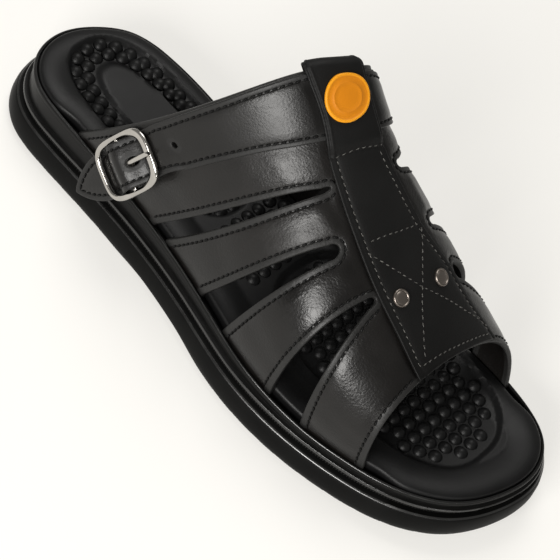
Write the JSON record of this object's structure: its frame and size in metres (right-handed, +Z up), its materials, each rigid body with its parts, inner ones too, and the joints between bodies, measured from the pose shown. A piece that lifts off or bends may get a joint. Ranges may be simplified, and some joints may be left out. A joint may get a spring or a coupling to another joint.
{
  "type": "strapped leather slide sandal",
  "caption": "Right-foot leather slide with slotted joined bands, a buckled instep strap, a vamp strap and a nubbed footbed on a stepped moulded sole.",
  "frame": {"origin": "middle of the footprint, on the floor", "axes": "+Y along the sole to the toe, +X to the outer side of the right foot, +Z up"},
  "size_m": [0.1086, 0.2904, 0.1306],
  "materials": {
    "rubber": "satin moulded black rubber",
    "foam": "satin black moulded foam with a bright rib",
    "soft_liner": "matt black soft moulded footbed",
    "leather_gloss": "glossy black grain leather, stitched in black",
    "leather_matt": "matt black leather, stitched in light grey",
    "nickel": "polished nickel plate",
    "badge_enamel": "satin orange disc"
  },
  "bodies": {
    "root": {"outsole": "rubber", "midsole": "foam", "footbed": "soft_liner", "upper": "leather_gloss", "buckle_strap": "leather_gloss", "vamp_strap": "leather_matt", "buckle_frame": "nickel", "buckle_prong": "nickel", "buckle_tab": "leather_gloss", "badge": "badge_enamel", "rivet_outer": "nickel", "rivet_inner": "nickel"}
  },
  "joints": []
}
